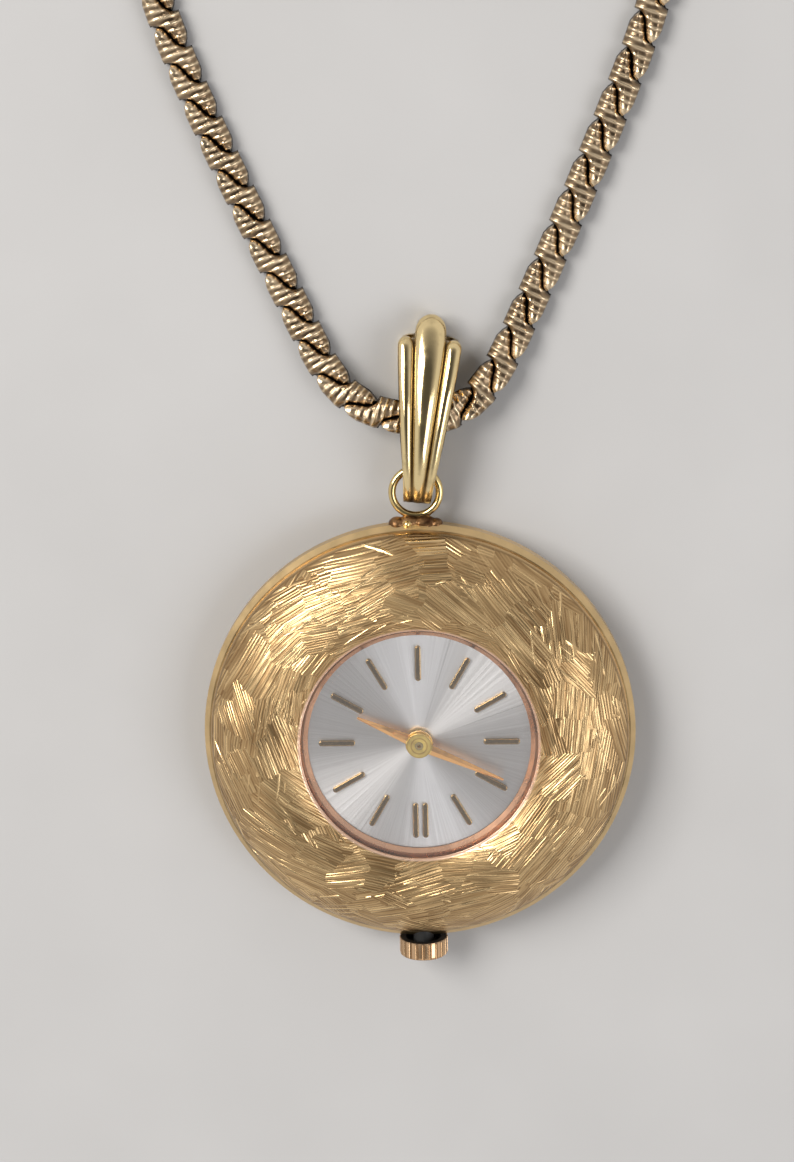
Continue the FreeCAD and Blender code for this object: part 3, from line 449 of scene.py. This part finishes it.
# %% Finding places along the chain
class Along:
    """Finds a place and its directions at any length along the chain."""

    def __init__(self, points):
        self.points = points
        self.lengths = [0.0]
        for a, b in zip(points, points[1:]):
            self.lengths.append(self.lengths[-1] + (b - a).length)
        self.cursor = 0

    def at(self, length):
        length = min(max(length, 0.0), self.lengths[-1] - 1e-9)
        while self.lengths[self.cursor] > length:
            self.cursor -= 1
        while self.lengths[self.cursor + 1] <= length:
            self.cursor += 1
        a, b = self.points[self.cursor], self.points[self.cursor + 1]
        share = (length - self.lengths[self.cursor]) / (b - a).length
        heading = (b - a).normalized()
        side = Vector((0, 0, 1)).cross(heading).normalized()
        return a.lerp(b, share), heading, side, heading.cross(side)


# %% The shape of a link
CUT_STEEPNESS, LOBE_AT = 3.0, 0.45


def cut_edge(v):
    """The S of a link's cut: its place along the chain and its normal, for a place v across it."""
    turn = CUT_STEEPNESS * v
    along = LINK_LAP / 2 * (1 + math.tanh(turn) / math.tanh(CUT_STEEPNESS))
    slope = LINK_LAP * CUT_STEEPNESS / math.cosh(turn) ** 2 / math.tanh(CUT_STEEPNESS) / CHAIN_WIDTH
    normal = Vector((1, -slope)).normalized()
    return Vector((along, v * CHAIN_WIDTH / 2)), normal


def link_loop(v):
    """The closed section of a link at v: (along, across, height) from its head round to its tail."""
    edge, normal = cut_edge(v)
    half = CHAIN_WIDTH / 2
    lobe = abs(abs(v) - LOBE_AT) / (1 - LOBE_AT)
    crown = 0.60 - 0.30 * lobe ** 3 - 0.14 * (abs(v) > 0.99)
    corner = LINK_ROUND * max((abs(v) - LOBE_AT) / (1 - LOBE_AT), 0.0) ** 2.5
    tongue = LINK_TONGUE * max(1 - (v / 0.8) ** 4, 0.0)
    head, tail = (corner, 0.0) if v < 0 else (0.0, corner)
    far = edge + Vector((LINK_PITCH - tail, 0))
    edge = edge + Vector((head, 0))
    rows = [(edge + normal * (LINK_GAP / 2 + inset), crown - drop) for inset, drop in LINK_ROWS]
    rows += [(far - normal * (LINK_GAP / 2 + inset), crown - drop) for inset, drop in reversed(LINK_ROWS)]
    floor = -0.52 + 0.34 * abs(v) ** 3
    rows += [(far + normal * tongue, floor * 0.7 - 0.05), (edge + normal * LINK_GAP, floor)]
    return [(p.x, max(min(p.y, half), -half), z) for p, z in rows]


print("crown of a lobe", round(link_loop(LOBE_AT)[2][2], 2), "mm above the middle line")


# %% Laying the links
def build_chain():
    along = Along(chain_line)
    link = [link_loop(v) for v in ACROSS]
    reach = LINK_PITCH + LINK_LAP
    count = int((along.lengths[-1] / MM - reach) / LINK_PITCH) + 1
    pitch = (along.lengths[-1] / MM - reach) / (count - 1)
    points, faces, map_points = [], [], []
    around = len(link[0])
    for k in range(count):
        base = len(points)
        for loop in link:
            for x, y, z in loop:
                centre, heading, side, rise = along.at((k * pitch + x) * MM)
                tilt = LINK_TILT * (1 - 2 * x / reach)
                points.append(centre + side * (y * MM) + rise * ((z + tilt) * MM))
                map_points.append((x / reach, z))
        for i in range(len(link) - 1):
            for j in range(around):
                a, b = base + i * around + j, base + i * around + (j + 1) % around
                faces.append((a, b, b + around, a + around))
        faces.append(tuple(base + j for j in reversed(range(around))))
        last = base + (len(link) - 1) * around
        faces.append(tuple(last + j for j in range(around)))
    piece = mesh_piece("chain_links", points, faces)
    layer = piece.data.uv_layers.new(name="link_map")
    for loop in piece.data.loops:
        layer.data[loop.index].uv = map_points[loop.vertex_index]
    select_only(piece)
    bpy.ops.object.shade_smooth_by_angle(angle=math.radians(50))
    print("links", count, "faces", len(faces))
    return piece


chain_links = build_chain()


# %% [markdown]
# ## Antique chain finish
# Old rolled gold, dark brown in the valleys of the ribs and bright on their ridges and on the lobe: partly
# tarnish and rubbing, partly painted shade and painted highlight. The low parts of each link, which show
# through the gaps, are painted near black as shade. The ridges run across each link and fade out on the
# polished lobe.
# %% Chain metal
RIBS_ON_A_LINK = 8.8


def chain_finish():
    f = Finish("antique_chain", (0.42, 0.31, 0.18), metallic=1.0, roughness=0.32)
    uv = f.wire("ShaderNodeUVMap", "UV", {"uv_map": "link_map"})
    t, depth, _ = f.axes(uv)
    ribs = ((t * (2 * math.pi * RIBS_ON_A_LINK)).sin() * 0.5 + 0.5) ** 2.2
    ribbed = t.between(0.12, 0.24) * t.between(1.0, 0.93)
    height = ribs * ribbed + (1 - ribbed) * 0.8
    wear = f.noise(f.place(), 500.0, 2.0)
    # colour by rib height: tarnish and rubbing, together with painted shade in the valleys and a painted
    # highlight on the ridges and the lobe
    bright = height * 0.75 + wear * 0.35
    colour = f.mix(bright.between(0.1, 0.95), (0.20, 0.13, 0.075), (0.86, 0.68, 0.45))
    # painted shade: the low parts of a link, seen through the gaps, go near black
    painted_gap_shade = depth.between(-0.05, 0.16)
    f.set(Base_Color=f.mix(painted_gap_shade, (0.02, 0.013, 0.008), colour), Roughness=wear.between(0.3, 0.7, 0.2, 0.38))
    f.bump(height, 0.8, 0.0001)
    return f.material


mount(chain_links, "necklace", chain_finish(), ["chain_run", "chain_coil"])


# %% [markdown]
# ## Metals for the frame's own pieces
# The case is gold-filled brass in several finishes, and the movement behind it is nickel, brass, steel and
# ruby. Each finish is one function, and every node of the frame gets one.
# %% Plain metals
def worn_metal(name, colour, low, high, grain=700.0, bump=0.00001):
    """A metal whose roughness and tone drift a little, as handled metal's do."""
    f = Finish(name, colour, metallic=1.0, roughness=(low + high) / 2)
    place = f.place()
    drift = f.noise(place, grain, 3.0)
    dark = tuple(c * 0.82 for c in colour)
    f.set(Base_Color=f.mix(drift.between(0.3, 0.7), dark, colour),
          Roughness=drift.between(0.3, 0.7, low, high))
    if bump:
        f.bump(f.noise(place, grain * 6, 2.0), 0.4, bump)
    return f.material


metals = {
    "case_brass": worn_metal("engraved_gold_plain", (0.72, 0.53, 0.28), 0.28, 0.42),
    "case_satin": worn_metal("satin_band", (0.74, 0.53, 0.27), 0.28, 0.42),
    "rehaut_copper": worn_metal("copper_ring", (0.62, 0.34, 0.20), 0.22, 0.36),
    "movement_brass": worn_metal("wheel_brass", (0.78, 0.60, 0.28), 0.25, 0.35),
    "polished_gold": worn_metal("polished_gold", (0.80, 0.60, 0.27), 0.10, 0.2),
    "marker_gold": worn_metal("bronze_markers", (0.34, 0.22, 0.095), 0.16, 0.26),
    "nickel_plate": worn_metal("grained_nickel", (0.70, 0.69, 0.66), 0.3, 0.42),
    "steel": worn_metal("polished_steel", (0.58, 0.59, 0.61), 0.15, 0.28),
    "spring_steel": worn_metal("blued_steel", (0.10, 0.14, 0.32), 0.2, 0.3),
    "shock_gold": worn_metal("shock_gold", (0.86, 0.66, 0.28), 0.15, 0.25),
    "chain_brass": worn_metal("clasp_gold", (0.56, 0.42, 0.24), 0.22, 0.36),
}


print("plain metals", len(metals))


# %% [markdown]
# The dial is brushed from its middle outwards, so its fine scratches are rays, and an anisotropic gloss turns
# each lamp into two bright beams. A noise that is read on a circle gives each ray its own tone.
# %% Dial
def dial_finish():
    f = Finish("silver_sunburst", (0.60, 0.59, 0.59), metallic=1.0, roughness=0.33)
    x, y, _ = f.axes(f.place())
    angle = x.maths("ARCTAN2", y, x)
    around = f.vector(angle.cos(), angle.sin())
    rays = f.noise(around, 60.0, 4.0, 0.7)
    f.set(Base_Color=f.mix(rays.between(0.35, 0.65), (0.84, 0.815, 0.80), (0.95, 0.93, 0.92)),
          Roughness=rays.between(0.3, 0.7, 0.27, 0.36))
    f.set(Anisotropic=0.85)
    return f.material


metals["dial_silver"] = dial_finish()
print("dial done")


# %% [markdown]
# The crown's flutes are bright on their crests and brown in their valleys, and painted shade makes its hollow
# face that looks at the case, and its bore, near black. Both follow from the distance to the crown's own
# axis.
# %% Crown
# each pair is the radius where a tone begins and the radius where it is full
FACE_SHADE_RADII, BORE_SHADE_RADII, FLUTE_RADII = (1.72 * MM, 1.6 * MM), (1.46 * MM, 1.38 * MM), (1.62 * MM, 1.8 * MM)


def crown_finish():
    """Rose gold, with painted shade: near black on the hollow face that looks at the case and in the bore."""
    f = Finish("rose_crown", (0.76, 0.53, 0.33), metallic=1.0, roughness=0.24)
    place = f.place()
    x, y, z = f.axes(place)
    low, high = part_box("crown")
    middle_z = (low[2] + high[2]) / 2
    radius = (x * x + (z - middle_z) ** 2) ** 0.5
    # painted shade: near black on the hollow face and in the bore
    hollow = y.between(high[1] - 0.16 * MM, high[1] - 0.06 * MM) * radius.between(*FACE_SHADE_RADII)
    inside = radius.between(*BORE_SHADE_RADII) * y.between(low[1] + 0.2 * MM, low[1] + 0.4 * MM)
    dark = hollow.largest(inside)
    valley = radius.between(*FLUTE_RADII)
    gold = f.mix(valley, (0.40, 0.24, 0.12), (0.95, 0.66, 0.40))
    f.set(Base_Color=f.mix(dark, gold, (0.012, 0.010, 0.009)), Metallic=1 - dark * 0.7,
          Roughness=f.noise(place, 900.0).between(0.3, 0.7, 0.18, 0.3) + dark * 0.3)
    return f.material


metals["crown_gold"] = crown_finish()
print("crown done")


# %% [markdown]
# The crystal is thin, so it only needs to be clear with a little gloss: a see-through shader mixed with a
# glossy one. Rubber is a dark shader whose roughness drifts a little, and ruby a red one whose tone drifts a
# little.
# %% Glass, rubber and ruby
GLASS_SHINE = 0.035


def glass_finish():
    """Clear glass that keeps a faint gloss."""
    f = Finish("clear_crystal", (1, 1, 1), roughness=0.02)
    clear = f.wire("ShaderNodeBsdfTransparent", "BSDF")
    shine = Wire(f.tree, f.shader.outputs[0])
    blend = f.node("ShaderNodeMixShader", Fac=GLASS_SHINE, input1=clear, input2=shine)
    f.tree.links.new(blend.outputs[0], f.tree.nodes["Material Output"].inputs["Surface"])
    return f.material


def rubber_finish():
    f = Finish("black_rubber", (0.015, 0.015, 0.015), roughness=0.6)
    f.set(Roughness=f.noise(f.place(), 900.0).between(0.3, 0.7, 0.5, 0.7))
    return f.material


def ruby_finish():
    f = Finish("ruby", (0.5, 0.02, 0.08), roughness=0.08)
    f.set(Base_Color=f.mix(f.noise(f.place(), 1500.0), (0.42, 0.01, 0.06), (0.62, 0.03, 0.12)))
    return f.material


metals["crystal_glass"] = glass_finish()
metals["gasket_rubber"] = rubber_finish()
metals["ruby"] = ruby_finish()
print("clear and dark finishes done")


# %% [markdown]
# The hands are orange gold. Their boss is turned brass, yellower, with two fine rings cut in its face.
# %% Hands
BOSS_EDGE, RING_RADII = (0.96 * MM, 0.90 * MM), (0.55 * MM, 0.83 * MM)


def hand_finish():
    """Orange gold on the blades, bright yellow gold on the boss."""
    f = Finish("orange_gold_hands", (0.85, 0.47, 0.17), metallic=1.0, roughness=0.26)
    place = f.place()
    x, y, _ = f.axes(place)
    radius = (x * x + y * y) ** 0.5
    boss = radius.between(*BOSS_EDGE)
    turned = (radius - RING_RADII[0]).abs().between(0.0, 0.07 * MM, 1.0, 0.0)
    turned = turned.largest((radius - RING_RADII[1]).abs().between(0.0, 0.06 * MM, 0.8, 0.0))
    bright = f.mix(turned, (1.0, 0.74, 0.20), (0.62, 0.36, 0.08))
    f.set(Base_Color=f.mix(boss, (0.85, 0.45, 0.15), bright),
          Roughness=f.noise(place, 1500.0).between(0.3, 0.7, 0.28, 0.42))
    return f.material


metals["hand_gold"] = hand_finish()
print("finishes", len(metals))


# %% [markdown]
# Every node of the frame names the finish that it takes. Two differ from their slot: the tube under the crown
# takes black rubber as painted shade in the gap under the crown, and the tip of the cannon pinion shows as
# gold in the middle of the hands.
# %% Finishes onto the frame's pieces
slot_of = {part["node"]: part["material_slot"] for part in frame["record"]["subparts"]}
for node, piece in frame["nodes"].items():
    give(piece, metals[slot_of[node]])
# painted shade: the tube in the gap under the crown is made black
give(frame["nodes"]["crown_tube"], metals["gasket_rubber"])
give(frame["nodes"]["cannon_pinion"], metals["movement_brass"])
print("pieces given a finish", len(frame["nodes"]))


# %% [markdown]
# ## The engraved bezel
# The domed ring round the dial is turned to the frame's own outline and rounded by subdivision, because its
# long soft highlight shows every facet. Its engraving is a goldsmith's: patches of short parallel cuts, each
# patch at its own slant to the rim, so that the light picks out one patch and leaves the next one dark. Its
# colour adds to that: a painted highlight on the crests of the cuts and painted shade between them.
# %% Bezel shape
BEZEL = [
    (13.95, 3.3), (14.48, 3.3), (14.55, 3.36), (14.5, 3.75), (14.1, 4.3), (13.5, 4.95), (12.85, 5.5),
    (12.1, 5.95), (11.55, 6.22), (11.0, 6.42), (9.9, 6.55), (9.3, 6.49), (8.9, 6.38), (8.5, 6.17),
    (8.25, 5.97), (8.2, 5.88), (8.2, 5.76), (8.26, 5.72), (8.73, 5.7), (8.75, 5.62), (8.75, 5.12),
    (8.8, 5.08), (9.9, 5.08), (9.9, 5.6), (11.2, 5.45), (12.5, 4.8), (13.2, 4.15), (13.95, 4.15),
]
bezel_ring = lathe("bezel_ring", BEZEL, around=96, smooth_levels=2)
print("bezel faces", len(bezel_ring.data.polygons))


# %% [markdown]
# ## Cuts in patches
# A Voronoi texture shares the surface out into patches and gives every point its patch's middle and a
# random colour. The middle says which way the rim runs there, and the colour says how far the patch leans
# from it, so the cuts of one patch are parallel. Three sets of patches of different sizes overlap.
# %% Engraving
def cut_patches(f, place, shift, patch, lean, spacing, length):
    """Parallel cuts in patches: their height, and a random number for each patch."""
    x, y, _ = f.axes(place)
    drift = f.noise(place, 520.0, 3.0, 0.65) * (2.6 * MM)
    where = f.vector(x + drift + shift * MM, y - drift)
    cells = f.node("ShaderNodeTexVoronoi", {"voronoi_dimensions": "2D"}, Vector=where, Scale=1 / (patch * MM))
    middle_x, middle_y, _ = f.axes(Wire(f.tree, cells.outputs["Position"]))
    chance, other, _ = f.axes(Wire(f.tree, cells.outputs["Color"]))
    rim = middle_y.maths("ARCTAN2", middle_y, middle_x - shift * MM) + math.pi / 2
    slant = rim + (chance - 0.5) * (2 * lean)
    run_x, run_y = slant.cos(), slant.sin()
    along = x * run_x + y * run_y
    across = y * run_x - x * run_y
    wobble = f.noise(f.vector(along * (1 / (length * MM)), across * (1 / (spacing * 2 * MM)), other * 50.0),
                     1.0, 2.0, 0.6)
    streaks = f.noise(f.vector(along * (1 / (length * MM)), across * (1.1 / (spacing * MM)), other * 90.0),
                      1.0, 1.0).between(0.36, 0.64)
    stripes = (across * (2 * math.pi / (spacing * MM)) + wobble * 4.0).sin() * 0.5 + 0.5
    return (stripes * 0.5 + streaks * 0.6) * wobble.between(0.36, 0.6, 0.35, 1.0), other


# each set of cuts: shift of the pattern, size of its patches, their lean, spacing and length of the cuts
WIDE_CUTS = (40.0, 3.6, 0.36, 0.19, 5.0)
SMALL_CUTS = (90.0, 2.4, 0.55, 0.17, 4.0)
LONG_CUTS = (150.0, 2.8, 0.60, 0.42, 4.5)
RIM_LINE_RADIUS = 14.40 * MM


def engraving_finish():
    f = Finish("engraved_gold", (0.72, 0.53, 0.28), metallic=1.0, roughness=0.3)
    place = f.place()
    x, y, _ = f.axes(place)
    radius = (x * x + y * y) ** 0.5
    wide, _ = cut_patches(f, place, *WIDE_CUTS)
    small, small_chance = cut_patches(f, place, *SMALL_CUTS)
    long, long_chance = cut_patches(f, place, *LONG_CUTS)
    over = small_chance.between(0.50, 0.54)
    height = wide * (1 - over) + small * over
    height = height.largest((long ** 4.0) * long_chance.between(0.35, 0.4) * 1.25)
    cut = radius.between(14.42 * MM, 14.36 * MM) * radius.between(8.30 * MM, 8.38 * MM)
    height = height * cut + (1 - cut) * 0.6
    cloud = f.noise(place, 160.0, 3.0)
    # colour by the height of the cuts: a painted highlight on their crests and painted shade between them,
    # with the cloud as a real drift in tone
    cut_light_and_mottle = (height * 0.8 + cloud * 0.3).between(0.12, 0.95)
    gold = f.mix(cut_light_and_mottle, (0.26, 0.145, 0.06), (0.92, 0.655, 0.335))
    rim_line = (radius - RIM_LINE_RADIUS).abs().between(0.0, 0.09 * MM, 0.7, 0.0)
    gold = f.mix(rim_line, gold, (0.16, 0.09, 0.04))
    lip = radius.between(8.40 * MM, 8.30 * MM)
    f.set(Base_Color=f.mix(lip, gold, (0.86, 0.60, 0.44)),
          Roughness=(cloud * 0.3 + height * -0.16 + 0.23).largest(0.13))
    f.bump(height, 1.0, 0.00007)
    return f.material


mount(bezel_ring, "watch_head", engraving_finish(), ["bezel"])
print("bezel mounted")


# %% [markdown]
# ## The fluted bail
# The front of the bail is three half-round flutes that fan out from the bow ring like a shell, the middle one
# longest. Each is a rod drawn out along the front leaf, wider and wider, and rounded off at its top. The
# folded strip behind them is the frame's own.
# %% Flutes
BAIL_LEAN, BAIL_SHIFT, BOW_Y = math.radians(-5.5), 0.15, 17.05
LEAF = [(16.5, 2.45), (17.0, 2.95), (18.3, 3.45), (20.3, 3.6), (22.4, 3.5), (25.0, 3.0), (27.0, 2.25)]
LEAF_FALL, TOP_RISE = 0.5, 0.22
FLUTE_WIDENS = (16.4, 27.0)


def flute_stations(low, high, top, rise, height):
    """Stations up one flute, from (x, half width) low to high; it closes in a quarter of a circle."""
    round_from = top - high[1]
    places = [(y, z) for y, z in LEAF if y < round_from - 0.3]
    last_y, last_z = LEAF[-1]
    places.append((round_from, last_z - (round_from - last_y) * LEAF_FALL))
    stations = []
    for y, z in places:
        share = min((y - FLUTE_WIDENS[0]) / (FLUTE_WIDENS[1] - FLUTE_WIDENS[0]), 1.0)
        x, wide = (a + (b - a) * share for a, b in zip(low, high))
        stations.append((x, y, z + rise + TOP_RISE * share, wide, min(height, wide)))
    x, y, z, wide, high_here = stations[-1]
    for turn in (0.35, 0.7, 1.0, 1.25, 1.42):
        reach = wide * math.sin(turn)
        stations.append((x, y + reach, z - reach * LEAF_FALL, wide * math.cos(turn),
                         high_here * math.cos(turn) ** 0.6))
    x, y, z, wide, high_here = stations[0]
    return [(x, y - 0.16, z - 0.22, wide * 0.8, high_here * 0.5), *stations]


# each flute: its (x, half width) at the foot and at the top, the y of its top, its rise and its height
FLUTES = {
    "flute_middle": ((0.0, 0.35), (0.0, 1.1), 29.3, 0.16, 0.62),
    "flute_left": ((-0.60, 0.28), (-1.62, 0.58), 27.8, 0.12, 0.46),
    "flute_right": ((0.60, 0.28), (1.62, 0.58), 27.78, 0.12, 0.46),
}
flutes = [draw_out(name, flute_stations(*shape), 16, 2) for name, shape in FLUTES.items()]
select_only(*flutes)
bpy.ops.object.join()
bail_flutes = bpy.context.object
bpy.ops.object.mode_set(mode="EDIT")
bpy.ops.mesh.select_all(action="SELECT")
bpy.ops.transform.translate(value=(BAIL_SHIFT * MM, 0, 0))
bpy.ops.transform.rotate(value=-BAIL_LEAN, orient_axis="Z", center_override=(0, BOW_Y * MM, 0))
bpy.ops.object.mode_set(mode="OBJECT")
bail_flutes.name = bail_flutes.data.name = "bail_flutes"
print("flutes x", [round(c[0] / MM, 2) for c in (bail_flutes.bound_box[0], bail_flutes.bound_box[6])],
      "top y", round(max(c[1] for c in bail_flutes.bound_box) / MM, 2))


# %% [markdown]
# The crowns of the flutes are polished, and the colour is darker in the grooves between them and at the foot
# by the ring, with random smudges. The grooves lie on two straight lines that spread from the foot, so their
# distance is a short sum on the place, once it is turned back by the bail's lean.
# %% Bail finish
GROOVE_FOOT_X, GROOVE_TOP_X = 0.35, 1.08


def bail_finish():
    f = Finish("worn_bail_gold", (0.78, 0.60, 0.28), metallic=1.0, roughness=0.14)
    place = f.place()
    x, y, _ = f.axes(place)
    lean_cos, lean_sin = math.cos(BAIL_LEAN), math.sin(BAIL_LEAN)
    from_ring = y - BOW_Y * MM
    local_x = (x * lean_cos + from_ring * lean_sin - BAIL_SHIFT * MM).abs()
    local_y = from_ring * lean_cos - x * lean_sin + BOW_Y * MM
    spread = (GROOVE_TOP_X - GROOVE_FOOT_X) / (FLUTE_WIDENS[1] - FLUTE_WIDENS[0])
    groove_x = (local_y - FLUTE_WIDENS[0] * MM) * spread + GROOVE_FOOT_X * MM
    groove = (local_x - groove_x).abs().between(0.0, 0.26 * MM, 1.0, 0.0)
    smudge = f.noise(place, 700.0, 4.0, 0.6)
    foot = local_y.between(17.1 * MM, 16.5 * MM)
    # darker in the grooves and at the foot by the ring, plus random smudges
    darkening = ((groove ** 1.5) * 0.8 + smudge.between(0.52, 0.75) * 0.35 + foot * 0.7).smallest(1.0)
    f.set(Base_Color=f.mix(darkening, (0.84, 0.66, 0.35), (0.10, 0.055, 0.022)),
          Roughness=darkening * 0.3 + smudge.between(0.3, 0.7, 0.08, 0.2))
    f.bump(smudge, 0.3, 0.00003)
    return f.material


worn_bail_gold = bail_finish()
mount(bail_flutes, "necklace", worn_bail_gold)
give(frame["nodes"]["bail"], worn_bail_gold)
print("bail finished")


# %% [markdown]
# ## The solder under the bow
# The ring is held to the band by a run of old solder, brown and lumpy, with one bright bead on it. Several
# flattened balls are joined and remeshed into one skin, then smoothed, which is how such a run looks.
# %% Solder mound
def ball(place, size):
    bpy.ops.object.select_all(action="DESELECT")
    bpy.ops.mesh.primitive_uv_sphere_add(segments=24, ring_count=12, radius=MM,
                                         location=[c * MM for c in place])
    lump = bpy.context.object
    lump.scale = size
    bpy.ops.object.transform_apply(location=True, rotation=True, scale=True)
    return lump


BEAD_X, BEAD_Y = -0.62, 14.95
LUMPS = [((-1.3, 14.9, 2.45), (0.62, 0.5, 0.62)), ((-0.45, 15.0, 2.4), (0.8, 0.5, 0.6)),
         ((0.55, 14.98, 2.42), (0.8, 0.5, 0.62)), ((1.35, 14.86, 2.45), (0.5, 0.42, 0.55)),
         ((BEAD_X, BEAD_Y, 2.98), (0.24, 0.24, 0.2)), ((0.3, 15.0, 2.85), (0.3, 0.22, 0.2)),
         ((0.9, 14.8, 2.9), (0.25, 0.2, 0.16))]
lumps = [ball(place, size) for place, size in LUMPS]
select_only(*lumps)
bpy.ops.object.join()
bow_solder = bpy.context.object
bow_solder.name = bow_solder.data.name = "bow_solder"
fuse = bow_solder.modifiers.new("fuse", "REMESH")
fuse.mode, fuse.voxel_size = "VOXEL", 0.055 * MM
bpy.ops.object.modifier_apply(modifier=fuse.name)
soften = bow_solder.modifiers.new("soften", "SMOOTH")
soften.factor, soften.iterations = 0.5, 5
bpy.ops.object.modifier_apply(modifier=soften.name)
bpy.ops.object.shade_smooth()


def solder_finish():
    f = Finish("old_solder", (0.30, 0.17, 0.08), metallic=1.0, roughness=0.3)
    place = f.place()
    x, y, _ = f.axes(place)
    patches = f.noise(place, 1400.0, 4.0, 0.65)
    away = ((x - BEAD_X * MM) ** 2 + (y - BEAD_Y * MM) ** 2) ** 0.5
    bead = away.between(0.32 * MM, 0.2 * MM)
    brown = f.mix(patches.between(0.35, 0.65), (0.07, 0.03, 0.014), (0.34, 0.19, 0.085))
    f.set(Base_Color=f.mix(bead, brown, (0.95, 0.72, 0.32)), Roughness=patches * 0.35 + 0.2 - bead * 0.22)
    f.bump(patches, 0.7, 0.00008)
    return f.material


mount(bow_solder, "watch_head", solder_finish(), ["bow_pad"])
print("solder faces", len(bow_solder.data.polygons))
